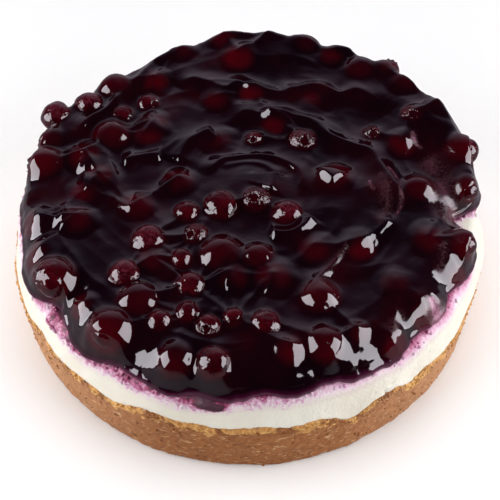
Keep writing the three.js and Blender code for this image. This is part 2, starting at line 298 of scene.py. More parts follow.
def scatter(name, carrier, weight, density, sizes, seed):
    """Small lumps set on a carrier's faces by Geometry Nodes, as a plain mesh of their own. They
    lie as densely as the carrier's weight attribute says and wear its material."""
    tree = bpy.data.node_groups.new(name, "GeometryNodeTree")
    tree.interface.new_socket("Carrier", in_out="INPUT", socket_type="NodeSocketGeometry")
    for label in ("Density", "Smallest", "Largest"):
        tree.interface.new_socket(label, in_out="INPUT", socket_type="NodeSocketFloat")
    tree.interface.new_socket("Lumps", in_out="OUTPUT", socket_type="NodeSocketGeometry")
    given = add(tree, "NodeGroupInput").outputs
    share = add(tree, "GeometryNodeInputNamedAttribute", {"Name": weight}, data_type="FLOAT").outputs[0]
    dense = add(tree, "ShaderNodeMath", {0: share, 1: given["Density"]}, operation="MULTIPLY").outputs[0]
    spots = add(tree, "GeometryNodeDistributePointsOnFaces",
                {"Mesh": given["Carrier"], "Density": dense, "Seed": seed}).outputs["Points"]
    lump = add(tree, "GeometryNodeMeshIcoSphere",
               {"Radius": 0.5 * METRES, "Subdivisions": 1}).outputs["Mesh"]
    turn = add(tree, "FunctionNodeRandomValue", {0: (0, 0, 0), 1: (math.tau,) * 3, "Seed": seed + 1},
               data_type="FLOAT_VECTOR").outputs[0]
    stretch = add(tree, "FunctionNodeRandomValue", {0: (0.6, 0.6, 0.4), 1: (1, 1, 0.8), "Seed": seed + 2},
                  data_type="FLOAT_VECTOR").outputs[0]
    growth = add(tree, "FunctionNodeRandomValue",
                 {2: given["Smallest"], 3: given["Largest"], "Seed": seed + 3},
                 data_type="FLOAT").outputs[1]
    width = add(tree, "ShaderNodeVectorMath", {0: stretch, "Scale": growth}, operation="SCALE").outputs[0]
    placed = add(tree, "GeometryNodeInstanceOnPoints",
                 {"Points": spots, "Instance": lump, "Rotation": turn, "Scale": width}).outputs[0]
    real = add(tree, "GeometryNodeRealizeInstances", {"Geometry": placed}).outputs[0]
    finished = add(tree, "GeometryNodeSetMaterial",
                   {"Geometry": real, "Material": carrier.data.materials[0]}).outputs[0]
    add(tree, "NodeGroupOutput", {"Lumps": finished})
    bed = bpy.data.objects.new(name, carrier.data)
    bpy.context.collection.objects.link(bed)
    spread = bed.modifiers.new(name, "NODES")
    spread.node_group = tree
    sockets = {item.name: item.identifier for item in tree.interface.items_tree}
    for label, value in zip(("Density", "Smallest", "Largest"), (density / METRES ** 2, *sizes)):
        spread[sockets[label]] = float(value)
    made = bed.evaluated_get(bpy.context.evaluated_depsgraph_get())
    mesh = bpy.data.meshes.new_from_object(made)
    bed.modifiers.remove(spread)
    bed.data = mesh
    mesh.shade_smooth()
    return bed


def crust_edge(angle):
    """The height of the broken edge, down to single crumbs."""
    crumbs = relief(place(shoulder_radius, angle, 0), edge_relief)
    return crust_height - 0.3 + rim_rise(angle, crust_breaks) + crumbs


def crust_points():
    """The rings of the crust, how far under its edge each point lies and how many crumbs it has."""
    angle = round_angles(crust_sides)
    edge = crust_edge(angle)
    slow = round_angles(crust_sides // 8)
    rings = [place(0, 0, np.zeros(1)), place(30, slow, 0), place(foot_radius - 1.6, angle, 0)]
    for share in np.linspace(0, 1, wall_rows):
        height = share * edge
        worn = foot_round * np.exp(-height / 0.35) + edge_round * np.exp(-(edge - height) / 0.3)
        wall = foot_radius + (shoulder_radius - foot_radius) * share + wall_wave(angle) - worn
        row = place(wall, angle, height)
        chips = ease(lumps(row, 2.6, 21), 0.28, 0.55)
        rough = (relief(row, wall_relief) - chip_depth * chips) * ease(height, 0, 0.6)
        rings.append(place(wall + rough, angle, height))
    for radius, sides in ((58.8, crust_sides), (56.5, crust_sides), (52, crust_sides // 2), (30, 90)):
        turn = round_angles(sides)
        near_rim = ease(np.full(sides, radius), 52, 59.9)
        rings.append(place(radius, turn, crust_height + near_rim * (crust_edge(turn) - crust_height - 0.2)))
    rings.append(place(0, 0, np.full(1, crust_height)))
    points = np.concatenate(rings)
    out, around = polar(points)
    below = np.clip(crust_edge(around) - points[:, 2], 0, 30)
    on_wall = ease(out, 57.5, 59) * ease(points[:, 2], 0.3, 2)
    clumps = ease(lumps(points, 6, 33), -0.5, 0.4)
    crumbs = on_wall * (wall_crumbs + (0.25 + clumps) * (1 - ease(below, 0.4, crumb_reach)))
    return points, ring_faces([len(ring) for ring in rings]), {"below_edge": below, "crumbs": crumbs}


def grains(size):
    """The Scale of a noise whose grains are so many millimetres across."""
    return 1 / (size * METRES)


def crust_finish():
    """Baked biscuit crumb: matt, mid brown and sandy, with flat pale flecks of flour, a few toasted grains
    and golden crumb in patches under the edge. It is painted paler towards its left and right sides, as
    painted light from the side softboxes."""
    material, tree, shader = new_material("baked_biscuit_crumb")
    spot = add(tree, "ShaderNodeTexCoord").outputs["Object"]
    broad, patches, toast, grain = [
        add(tree, "ShaderNodeTexNoise", {"Vector": spot, "Scale": grains(size), "Detail": detail}).outputs[0]
        for size, detail in ((22, 2), (3.85, 3), (2.38, 3), (1.11, 4))
    ]
    flat = add(tree, "ShaderNodeVectorMath", {0: spot, 1: (1, 1, 2.2)}, operation="MULTIPLY").outputs[0]
    flecks = add(tree, "ShaderNodeTexNoise",
                 {"Vector": flat, "Scale": grains(1.61), "Detail": 2}).outputs[0]
    body = add(tree, "ShaderNodeValToRGB", {0: broad}, [(0.3, "#874d24"), (0.7, "#9d602f")]).outputs[0]
    speckle = add(tree, "ShaderNodeValToRGB", {0: grain}, [(0.3, "#7c4721"), (0.7, "#b0723a")]).outputs[0]
    mixed = add(tree, "ShaderNodeMix", {0: 0.55, 6: body, 7: speckle}, data_type="RGBA").outputs[2]
    # Painted light: the colour is mixed towards a pale tan towards the left and right sides (by |x|),
    # standing for the side softboxes' light, so the front looks darker.
    across = add(tree, "ShaderNodeSeparateXYZ", {0: spot}).outputs["X"]
    sideways = add(tree, "ShaderNodeMath", {0: across}, operation="ABSOLUTE").outputs[0]
    painted_side_light = add(tree, "ShaderNodeMapRange",
                  {0: sideways, 1: 20 * METRES, 2: 54 * METRES, 4: 0.5}).outputs[0]
    side_lit_colour = add(tree, "ShaderNodeMix", {0: painted_side_light, 6: mixed, 7: linear("#d3a072")},
                data_type="RGBA").outputs[2]
    pale = add(tree, "ShaderNodeMapRange", {0: flecks, 1: 0.6, 2: 0.7, 4: 0.7}).outputs[0]
    flecked = add(tree, "ShaderNodeMix", {0: pale, 6: side_lit_colour, 7: linear("#d3ae80")},
                  data_type="RGBA").outputs[2]
    dark = add(tree, "ShaderNodeMapRange", {0: toast, 1: 0.37, 2: 0.29, 4: 0.22}).outputs[0]
    toasted = add(tree, "ShaderNodeMix", {0: dark, 6: flecked, 7: linear("#62391c")},
                  data_type="RGBA").outputs[2]
    below = add(tree, "ShaderNodeAttribute", attribute_name="below_edge").outputs["Fac"]
    reach = add(tree, "ShaderNodeMapRange", {0: patches, 1: 0.35, 2: 0.7, 3: -0.4, 4: 4.8}).outputs[0]
    over = add(tree, "ShaderNodeMath", {0: reach, 1: below}, operation="SUBTRACT").outputs[0]
    loose = add(tree, "ShaderNodeMapRange", {0: over, 1: -0.3, 2: 0.7, 4: 0.9}).outputs[0]
    gold = add(tree, "ShaderNodeValToRGB", {0: grain}, [(0.3, "#b2732f"), (0.65, "#e6b56e")]).outputs[0]
    colour = add(tree, "ShaderNodeMix", {0: loose, 6: toasted, 7: gold}, data_type="RGBA").outputs[2]
    tree.links.new(colour, shader.inputs["Base Color"])
    bump = add(tree, "ShaderNodeBump", {"Height": grain, "Distance": 0.6 * METRES, "Strength": 0.7})
    tree.links.new(bump.outputs[0], shader.inputs["Normal"])
    shader.inputs["Roughness"].default_value = 0.85
    shader.inputs["Specular IOR Level"].default_value = 0.3
    return material


crust = make_mesh("pressed_crust", *crust_points())
crust.data.materials.append(crust_finish())
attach(crust, "root")
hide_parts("crust")

loose_crumbs = scatter("loose_crumbs", crust, "crumbs", crumb_density, crumb_sizes, seed=4)
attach(loose_crumbs, "root")


# ---- The filling: set cream cheese, poured on the crust and left uncut. ----
# Its side is as the tin left it, nearly smooth, with small pits and low waves, and it bulges
# slightly on one side. Where the glaze has wept, its upper edge is stained.

filling_top = 26.3
filling_radius = 58.9
filling_round = 3.2
filling_sides = 720
seam_gap = 0.1
pit_depth = 0.4

# Low waves of the side: height, size, seed.
side_relief = [(0.28, 8, 14), (0.1, 2.6, 4)]

# Where the side bulges out: angle, bulge, half-width.
filling_bulges = [(357, 1.7, 12), (312, -0.25, 8), (20, 0.4, 12)]

# The glaze's mean outline, the height, size and seed of its scallops, and where it runs past
# its outline or stops short: angle, reach, half-width.
glaze_radius = 58
glaze_scallops = [(0.55, 5, 2), (0.3, 2.2, 6)]
glaze_shores = [
    (3, 1.4, 4), (12, 2, 8), (22, 3.8, 8), (33, 1.8, 6), (40, 1.2, 8), (54, 1.2, 10),
    (78, 1.6, 14), (100, 1.3, 12), (126, -0.8, 9), (150, 1.2, 8), (172, -0.6, 7), (192, -1, 7),
    (207, 1.2, 5), (217.5, -3, 5.2), (230, 0.8, 4), (241, -0.9, 5), (253, 0.8, 4), (262, -0.2, 4),
    (274, -1.5, 4), (288, -1.4, 5), (302, -0.2, 5), (315, -1.5, 6), (329, -2.2, 4), (341, 0.4, 4),
    (353, -5.8, 3.4),
]

# How far the stain reaches beyond the glaze, everywhere and more at some angles: angle, reach,
# half-width. The top ends where the side is wet_rim below it.
wet_rim = 0.9
stain_everywhere = 1.1
stain_reach = [
    (214, 1.4, 5), (221, 2.8, 4), (229, 2.4, 6), (243, 2.8, 8), (259, 3.4, 6), (274, 1.2, 6),
    (290, 0.5, 6), (312, 2.2, 6), (326, 2.2, 5), (336, 1.6, 5), (2, 1.8, 5), (160, 1.2, 12),
    (120, 0.8, 12), (60, 0.8, 14),
]

# The stretch where the stain has soaked in evenly, not in crumbs: where it begins, where it
# ends, how even it is there, and how much deeper its stain is.
even_from = (280, 292)
even_to = (344, 354)
even_share = 0.6
even_stain = 1.6

# Drops of the glaze smeared on its side, with ragged outlines: angle, height, half-width,
# half-height, strength.
smear_rise = 0.6
smear_rags = [(0.7, 1.3, 17), (0.4, 2.8, 27)]
smears = [(218.3, 24.9, 2.3, 1.7, 2.2), (261.9, 24.2, 3.1, 1.2, 6), (225, 25.6, 0.9, 0.7, 3)]

# The stained curds that have come loose: how many to a square millimetre, and their sizes.
curd_density = 1.3
curd_sizes = (0.5, 1.7)


def glaze_outline(angle):
    """The edge of the glaze, with its small scallops."""
    scallops = relief(place(glaze_radius, angle, 0), glaze_scallops)
    return glaze_radius + rim_rise(angle, glaze_shores) + scallops


def filling_points():
    """The rings of the filling, how far each point lies inside the reach of the stain, how many
    curds it has and how evenly it has soaked."""
    angle = round_angles(filling_sides)
    slow = round_angles(filling_sides // 8)
    edge = crust_edge(angle)
    bottom = crust_height + seam_gap
    rings = [place(0, 0, np.full(1, bottom)), place(30, slow, bottom)]
    rings.append(place(56, angle, bottom + 0.4 * (edge - crust_height)))
    rings.append(place(shoulder_radius - 1.2, angle, edge - 0.5))
    foot = edge - 0.2
    bend = filling_top - filling_round
    for share in np.linspace(0, 1, 18):
        height = foot + (bend - foot) * share
        wall = shoulder_radius - seam_gap + (filling_radius - shoulder_radius) * share
        tucked = 0.5 * np.exp(-(height - foot) / 0.25)
        bulge = rim_rise(angle, filling_bulges) * np.sin(math.pi * min(1, 0.15 + share)) * 0.8
        rings.append(place(wall + wall_wave(angle) + bulge - tucked, angle, height))
    for turn in np.radians(np.linspace(8, 90, 11)):
        inwards = filling_round * (1 - math.cos(turn))
        rings.append(place(filling_radius + wall_wave(angle) - inwards, angle,
                           bend + filling_round * math.sin(turn)))
    for radius in np.arange(55.1, 46, -0.6):
        rings.append(place(radius, angle, filling_top))
    rings.append(place(38, slow, filling_top))
    rings.append(place(0, 0, np.full(1, filling_top)))
    points = np.concatenate(rings)
    out, around = polar(points)
    shown = ease(out, 46, 50) * ease(points[:, 2], crust_height - 4, crust_height + 2)
    pits = ease(lumps(points, 1.7, 31), 0.5, 0.62) * ease(lumps(points, 9, 12), 0.0, 0.3)
    rough = shown * (relief(points, side_relief) - pit_depth * pits)
    on_side = ease(filling_top - seam_gap - points[:, 2], 0, 2)
    outwards = points / np.maximum(out, 1)[:, None] * [1, 1, 0] * on_side[:, None]
    upwards = np.array([0, 0, 0.6]) * ease(points[:, 2], 24, 26)[:, None]
    points = points + rough[:, None] * (outwards + upwards)
    beyond = out - glaze_outline(around) + np.clip(filling_top - wet_rim - points[:, 2], 0, 20)
    stain = stain_everywhere + rim_rise(around, stain_reach) - beyond
    ragged = relief(points, smear_rags)
    for turn, height, width, tall, strength in smears:
        off = ((around - turn) / width) ** 2 + ((points[:, 2] - height) / tall) ** 2
        smear = shown * np.exp(-(np.clip(off + ragged, 0, 9) ** 1.5))
        points[:, :2] *= (1 + smear_rise * smear / np.maximum(out, 1))[:, None]
        stain = stain * (1 - smear) + (stain.clip(0, 3) + strength) * smear
    even = even_share * ease(around, *even_from) * (1 - ease(around, *even_to))
    curds = ease(stain, -0.8, 0.8) * (1 - ease(stain, 2.6, 3.6)) * ease(lumps(points, 5, 37), -0.3, 0.3)
    attributes = {"stain": stain + even_stain * even, "curds": curds * (1 - even), "even": even}
    return points, ring_faces([len(ring) for ring in rings]), attributes


def filling_finish():
    """Set cream cheese: off-white, faintly waxy and finely curdled, with violet juice soaked into
    it near the glaze, in crumbs of 1 to 2 mm or, where it is even, as a wash."""
    material, tree, shader = new_material("set_cream_cheese")
    spot = add(tree, "ShaderNodeTexCoord").outputs["Object"]
    broad, middling, fine = [
        add(tree, "ShaderNodeTexNoise", {"Vector": spot, "Scale": grains(size), "Detail": 3}).outputs[0]
        for size in (16.7, 2.38, 0.77)
    ]
    cream = add(tree, "ShaderNodeValToRGB", {0: broad}, [(0.35, "#e3dccb"), (0.65, "#ebe6d8")]).outputs[0]
    stain = add(tree, "ShaderNodeAttribute", attribute_name="stain").outputs["Fac"]
    drawn = add(tree, "ShaderNodeMath", {0: middling, 1: 5.5, 2: -4.5}, operation="MULTIPLY_ADD").outputs[0]
    grainy = add(tree, "ShaderNodeMath", {0: fine, 1: 6.6, 2: drawn}, operation="MULTIPLY_ADD").outputs[0]
    even = add(tree, "ShaderNodeAttribute", attribute_name="even").outputs["Fac"]
    crumbly = add(tree, "ShaderNodeMath", {0: 1, 1: even}, operation="SUBTRACT").outputs[0]
    level = add(tree, "ShaderNodeMath", {0: grainy, 1: crumbly, 2: stain},
                operation="MULTIPLY_ADD").outputs[0]
    soak = add(tree, "ShaderNodeMapRange", {0: level, 1: 0.4, 2: 6.2}).outputs[0]
    tint = add(tree, "ShaderNodeValToRGB", {0: soak}, [
        (0.0, "#e9e3d6"), (0.16, "#e4ced6"), (0.4, "#cf9bb6"), (0.66, "#a03568"), (0.85, "#6e0c38"),
        (1.0, "#3a081e"),
    ]).outputs[0]
    amount = add(tree, "ShaderNodeMapRange", {0: soak, 1: 0.0, 2: 0.15}).outputs[0]
    wash = add(tree, "ShaderNodeMapRange", {0: stain, 1: -2.4, 2: 1.4, 4: 0.55}).outputs[0]
    washed = add(tree, "ShaderNodeMix", {0: wash, 6: cream, 7: linear("#d3a9c2")},
                 data_type="RGBA").outputs[2]
    colour = add(tree, "ShaderNodeMix", {0: amount, 6: washed, 7: tint}, data_type="RGBA").outputs[2]
    tree.links.new(colour, shader.inputs["Base Color"])
    curdled = add(tree, "ShaderNodeMath", {0: middling, 1: fine}, operation="ADD").outputs[0]
    bump = add(tree, "ShaderNodeBump", {"Height": curdled, "Distance": 0.4 * METRES, "Strength": 0.4})
    tree.links.new(bump.outputs[0], shader.inputs["Normal"])
    shader.inputs["Roughness"].default_value = 0.55
    shader.inputs["Subsurface Weight"].default_value = 0.15
    shader.inputs["Subsurface Radius"].default_value = (4 * METRES, 3 * METRES, 2 * METRES)
    shader.inputs["Subsurface Scale"].default_value = 0.5
    return material


filling = make_mesh("cream_filling", *filling_points())
filling.data.materials.append(filling_finish())
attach(filling, "root")
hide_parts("filling")

stained_curds = scatter("stained_curds", filling, "curds", curd_density, curd_sizes, seed=9)
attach(stained_curds, "root")


# ---- The berries: whole cooked blueberries, 42 of which stand out of the glaze. ----
# A blueberry is a flattened ball with a small star-edged crown at one end. Cooking has dented
# and wetted the skin, and each lies with its crown turned its own way.

glaze_depth = 7
berry_flatness = 0.88
berry_bed = 1.7
berry_rows = 26
berry_sides = 36
whole_shreds = 0.07
torn_shreds = 0.28

# Dents of the skin: depth, size, seed counted from the berry's own.
skin_dents = [(0.42, 4.2, 0), (0.12, 1.9, 3)]

# The crown is a ring of five points round a dish, as shares of the berry's radius.
crown_radius = 0.38
crown_width = 0.1
crown_rise = 0.16
dish_depth = 0.26

# Distance from the axis, angle, width, lift of the middle, tilt of the crown away from
# straight up, and the way that it leans.
berries = [
    (9.8, 228.5, 8.8, 0.8, 150, 60), (6, 290, 7.8, 1, 20, 250), (13.8, 314, 8.2, 0.6, 140, 20),
    (17.6, 212, 7, 0.4, 155, 60), (20.9, 234, 6.4, 0.8, 35, 215), (23.5, 255, 8.8, 0, 120, 320),
    (23.8, 276, 5.8, 1, 150, 80), (34.5, 247.5, 8.2, -0.2, 60, 205), (42, 251.5, 5.8, 1.1, 155, 110),
    (44.2, 258.8, 5.8, 0.8, 46, 260), (41.4, 265.8, 5.2, 0.9, 130, 120), (42.5, 275.5, 7.6, 0, 140, 240),
    (38.6, 295.5, 7, 0.2, 45, 230), (52.8, 262, 8, -0.4, 130, 55), (53.2, 253, 6.4, -1.1, 150, 120),
    (50.3, 290, 6.8, -0.6, 40, 250), (43.8, 235.5, 8, 0, 65, 190), (46.3, 245, 5.4, 1, 150, 90),
    (53.2, 235, 8.6, -0.6, 150, 100), (40.3, 225, 8, 0.4, 140, 20), (53.6, 213, 9.2, -0.8, 75, 195),
    (29.8, 218, 8.8, 0.4, 145, 45), (52.8, 171.5, 8.8, 0.2, 80, 185), (57.2, 153.5, 8.4, 1.2, 145, 35),
    (54.6, 162, 6.6, -0.2, 110, 170), (52, 145.5, 8.2, 1.6, 160, 300), (51.4, 135, 8.2, 1.2, 60, 190),
    (42.2, 143, 7, 0.4, 75, 330), (39.8, 153.8, 8, 0.6, 30, 20), (40.3, 131.5, 7.2, 0.2, 45, 330),
    (21.2, 47, 8.4, 0.4, 30, 280), (55.8, 73, 8, 2.2, 150, 200), (51.8, 53, 7.2, 3, 110, 280),
    (56.8, 47, 7, 3.2, 60, 60), (49.2, 27.5, 7, 3.4, 30, 255), (37.4, 28, 7.2, 0.2, 15, 250),
    (56.9, 12, 8.2, 1.4, 160, 90), (42.8, 358, 6.6, 0.6, 100, 250), (55.4, 359.5, 5.6, 0, 140, 200),
    (55, 340.5, 6.6, -0.2, 120, 220), (16.5, 84, 5, 1.1, 40, 260), (28.8, 237.5, 5.4, 1.2, 140, 60),
]

# The berries whose skin is torn, and the ones that keep their pale bloom, by number.
torn_berries = (2, 5, 7, 31, 35)
frosted_berries = (3, 20, 22, 24, 26, 29, 37)


def berry_middle(distance, angle, width, lift):
    """The middle of a berry, never so low that it would touch the bottom of its bed."""
    height = max(filling_top + glaze_depth - 1 + lift, filling_top + berry_bed + width / 2)
    return place(distance, angle, height)


def berry_skin(number, distance, angle, width, lift, tilt, lean):
    """One berry's points, how rough each is, as at its crown or where it is torn, and how frosted."""
    along = np.linspace(0, math.pi, berry_rows)[1:-1]
    turn = np.radians(round_angles(berry_sides))
    phase, spin = np.meshgrid(along, turn, indexing="ij")
    ball = np.stack([np.sin(phase) * np.cos(spin), np.sin(phase) * np.sin(spin), -np.cos(phase)], axis=-1)
    ball = np.concatenate([[[0, 0, -1]], ball.reshape(-1, 3), [[0, 0, 1]]])
    out = np.hypot(ball[:, 0], ball[:, 1])
    star = 0.75 + 0.35 * np.cos(5 * np.arctan2(ball[:, 1], ball[:, 0]) + number)
    above = ball[:, 2] > 0
    crown = above * np.exp(-(((out - crown_radius) / crown_width) ** 2)) * star
    dish = above * (1 - ease(out, 0.12, 0.34))
    points = ball * [1, 1, berry_flatness] * (width / 2)
    own_seed = 7.3 * number
    dents = relief(points, [(depth, size, own_seed + seed) for depth, size, seed in skin_dents])
    shred_height = torn_shreds if number in torn_berries else whole_shreds
    shreds = shred_height * lumps(points, 0.9, own_seed + 5) * ease(ball[:, 2], 0.0, 0.75)
    points = points + ball * (dents + shreds)[:, None]
    points[:, 2] += width / 2 * (crown_rise * crown - dish_depth * dish)
    turned = Matrix.Rotation(math.radians(tilt), 3, towards(lean + 90, 0))
    points = points @ np.array(turned).T + berry_middle(distance, angle, width, lift)
    frost = np.full(len(points), 1.0 if number in frosted_berries else 0.2)
    scurf = 0.9 * (number in torn_berries) * ease(ball[:, 2], -0.2, 0.5)
    return points, np.clip(crown + dish + scurf + 0.12 * frost, 0, 1), frost


def berries_points():
    """All the berries that show, as one mesh."""
    parts = [berry_skin(number, *berry) for number, berry in enumerate(berries, 1)]
    counts = [1] + [berry_sides] * (berry_rows - 2) + [1]
    one = ring_faces(counts)
    size = sum(counts)
    faces = [[corner + size * k for corner in face] for k in range(len(parts)) for face in one]
    points, rough, frost = (np.concatenate(values) for values in zip(*parts))
    return points, faces, {"rough": rough, "frost": frost}


def berry_finish():
    """Cooked blueberry skin: thin, dark wine red and puckered, wet with syrup, so it is mirror bright, and
    rough at its crown and where it is torn. Where the bloom is left, its upward-facing top is dull pink,
    partly bloom and partly painted sheen."""
    material, tree, shader = new_material("wet_blueberry_skin")
    spot = add(tree, "ShaderNodeTexCoord").outputs["Object"]
    blotch, puckers, fine = [
        add(tree, "ShaderNodeTexNoise", {"Vector": spot, "Scale": grains(size), "Detail": detail}).outputs[0]
        for size, detail in ((3.33, 3), (2.08, 2), (0.625, 2))
    ]
    skin = add(tree, "ShaderNodeValToRGB", {0: blotch}, [(0.35, "#220004"), (0.7, "#3e0209")]).outputs[0]
    # Bloom and painted sheen: where the skin faces upwards, a berry with bloom is mixed towards dull pink;
    # this is partly the bloom and partly a painted sheen of the room on the berry's top.
    normal = add(tree, "ShaderNodeNewGeometry").outputs["Normal"]
    upright = add(tree, "ShaderNodeSeparateXYZ", {0: normal}).outputs["Z"]
    top_sheen_mask = add(tree, "ShaderNodeMapRange", {0: upright, 1: 0.55, 2: 0.95}).outputs[0]
    frost = add(tree, "ShaderNodeAttribute", attribute_name="frost").outputs["Fac"]
    bloom_and_sheen = add(tree, "ShaderNodeMath", {0: top_sheen_mask, 1: frost}, operation="MULTIPLY").outputs[0]
    speckled = add(tree, "ShaderNodeMapRange", {0: fine, 1: 0.35, 2: 0.7}).outputs[0]
    amount = add(tree, "ShaderNodeMath", {0: bloom_and_sheen, 1: speckled}, operation="MULTIPLY").outputs[0]
    colour = add(tree, "ShaderNodeMix", {0: amount, 6: skin, 7: linear("#561c28")},
                 data_type="RGBA").outputs[2]
    tree.links.new(colour, shader.inputs["Base Color"])
    rough = add(tree, "ShaderNodeAttribute", attribute_name="rough").outputs["Fac"]
    puckered = add(tree, "ShaderNodeBump",
                   {"Height": puckers, "Distance": 0.6 * METRES, "Strength": 0.6}).outputs[0]
    bump = add(tree, "ShaderNodeBump",
               {"Height": fine, "Distance": 0.3 * METRES, "Strength": rough, "Normal": puckered})
    tree.links.new(bump.outputs[0], shader.inputs["Normal"])
    shader.inputs["Roughness"].default_value = 0.06
    shader.inputs["IOR"].default_value = 1.5
    return material


cooked_berries = make_mesh("cooked_blueberries", *berries_points())
cooked_berries.data.materials.append(berry_finish())
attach(cooked_berries, "root")
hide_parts(*(f"berry_{number:02d}" for number in range(1, len(berries) + 1)))


# ---- The glaze: blueberries cooked in a starch-set violet syrup, swirled on with a spoon. ----
# It lies 7 mm deep, in folds that run round the cake, and hangs over the filling at places.
# It swells over the berries sunk in it and climbs a little up the ones that stand out.

glaze_sides = 768
glaze_step = 0.44
furthest_foot = 58.2
crease_rise = 0.65
fine_crease_rise = 0.22

# Uneven places of its level: height, size, seed.
level_relief = [(0.45, 9, 5), (0.1, 3.6, 11)]

# Its edge: a bead with a share of the depth, which overhangs a little at lip_rise, then a slope
# that is longest at the front.
bead_width = 1.8
bead_share = 0.17
lip_overhang = 0.5
lip_rise = 1
slope_front = 8.5
slope_back = 5

# The creases drawn from berry to berry: the longest, the share of pairs that have one, the
# width, and how far out it is still raised.
web_length = 15
web_share = 0.55
web_width = 1.8
web_reach = 3

# The gel over the berries: the thickness of its film, negative where the berry stands bare, how
# sharply it bends up to them, and by how much its veil hides their red.
coated_berries = (6, 7, 13, 15, 16, 17, 19, 21, 23, 25, 27, 29, 32, 33, 34, 37, 38, 39, 40)
coated_film = 0.35
coated_meniscus = 0.65
bare_film = -0.45
bare_meniscus = 1.3
bare_veil = 1.2
sunk_film = 0.5
sunk_veil = 0.6
mound_spread = 0.72
out_of_reach = 20.0

# Where the bead at its very edge is taller: angle, share of the depth, half-width.
tall_edges = [(233, 0.12, 8), (251, 0.04, 5), (318, 0.08, 8), (100, 0.15, 60)]

# Broad swells of its level: distance, angle, rise, half-width.
swells = [
    (57, 93, 4, 21), (55, 50, 3.8, 14), (50, 152, 1.2, 12), (53, 24, 4.5, 11), (57, 74, 2.2, 11),
    (58, 4, 2.6, 5), (56, 350, -3, 6), (1.5, 270, 1.6, 8), (26, 352, 1.7, 13), (34, 322, -0.8, 12),
    (46, 300, -1, 12), (20, 150, -0.6, 8), (42, 10, -0.6, 10),
]

# Folds left by the spoon: the angles and distances of their crest, rise, width towards the
# middle of the cake and width towards its rim.
folds = [
    ([(166, 11.5), (140, 10.6), (114, 10.1), (71, 10.1), (37, 12.3), (11, 13.2), (339, 14.2)],
     1.1, 0.8, 3.4),
    ([(140, 9.3), (115, 7.6), (90, 7.1), (50, 7.4), (10, 8.2)], 0.6, 0.8, 2.2),
    ([(106, 23.7), (94, 25.3), (82, 24.6), (70, 25.9), (55, 27.4), (42, 27.1), (33, 27.3), (24, 30.5),
      (17, 33.1), (4, 34.4), (353, 36.5), (345, 37)], 2.3, 2.4, 4.2),
    ([(82, 24.6), (61, 23.7), (56, 18.8)], 1.1, 1.5, 2.2),
    ([(75, 33.6), (68, 37.6), (60, 40), (52, 39.8), (46, 43.8), (32, 43.8)], 1.9, 2.2, 4.0),
    ([(118, 40.5), (112, 41.4), (106, 37.7), (100, 34.6), (93, 35.7), (78, 33.7), (63, 38.6)],
     1.7, 2.0, 3.4),
    ([(157, 19.8), (135, 21.6), (114, 19.5)], 1.6, 1.8, 3.0),
    ([(167, 33.4), (159, 28), (156, 24)], 1.5, 1.8, 2.8),
    ([(168, 49), (155, 47.7), (147, 46), (141, 45.6), (129, 48.9), (121, 52.2), (116, 54.2), (107, 55.8)],
     2.0, 2.0, 3.4),
    ([(253, 56), (261, 56.6), (268, 54.6), (277, 53.2)], 1.0, 2.4, 2.0),
    ([(205, 26), (190, 33), (178, 33), (160, 40)], 0.9, 1.4, 2.6),
    ([(286, 17.6), (295, 18.6), (305, 19.8), (315, 20.4), (325, 20)], 2.2, 3.0, 1.7),
    ([(9, 18.1), (2, 20), (356, 22.2)], 1.6, 1.0, 3.2),
    ([(328, 6.4), (345, 6.4), (5, 6.6), (25, 7.4)], 1.9, 3.0, 1.5),
    ([(345, 37), (337, 36), (328, 33.2), (318.6, 31), (307.7, 32.3), (299, 34.4), (291, 36.5)],
     1.5, 3.6, 1.8),
]

# Berries sunk in it: distance, angle, width, rise of the glaze over them.
sunk_berries = [
    (17.4, 176, 8, 1.6), (29.6, 263, 9, 1.6), (30, 281, 9.4, 1.7), (26.5, 307, 8, 1.4),
    (49.8, 281, 6, 0.9), (52, 225, 6, 1), (43.2, 196, 9, 1.8), (40.1, 184, 8.6, 1.4),
    (52.8, 192, 7.4, 1.3), (53.3, 204, 8.4, 1.7), (42.6, 167, 9.4, 1.7), (28.1, 195, 7.4, 1.3),
    (46.6, 124, 8.6, 1.6), (46.8, 93, 8.6, 1.4), (18, 114, 8.4, 1.4), (23, 71, 8, 1.3),
    (53, 63, 8, 1.4), (33.1, 88, 6, 0.9), (32.3, 105, 7.2, 1.3), (36, 60, 9.4, 1.5),
    (55.4, 40, 8.4, 2.1), (42.2, 19, 7, 1.2), (58, 27, 8.4, 1.6), (54.7, 333, 6.4, 1),
    (21.9, 4, 8.6, 1.6), (53.7, 317, 7.4, 1), (55.5, 306, 6, 0.8), (50.2, 299, 5, 0.8),
    (46.9, 338, 8.4, 1.4), (50.4, 354, 6, 1.2), (54, 110, 7.2, 1.2), (55, 97, 8, 1.3),
    (33, 323, 8, 0.8), (33.5, 228, 7, 0.8), (31.5, 146, 8, 1), (46, 318, 8, 0.7),
    (57.4, 61, 7.6, 2.2), (57.6, 83, 8, 1), (33.2, 139, 8, 1.2), (37.4, 176, 9, 1.3),
]

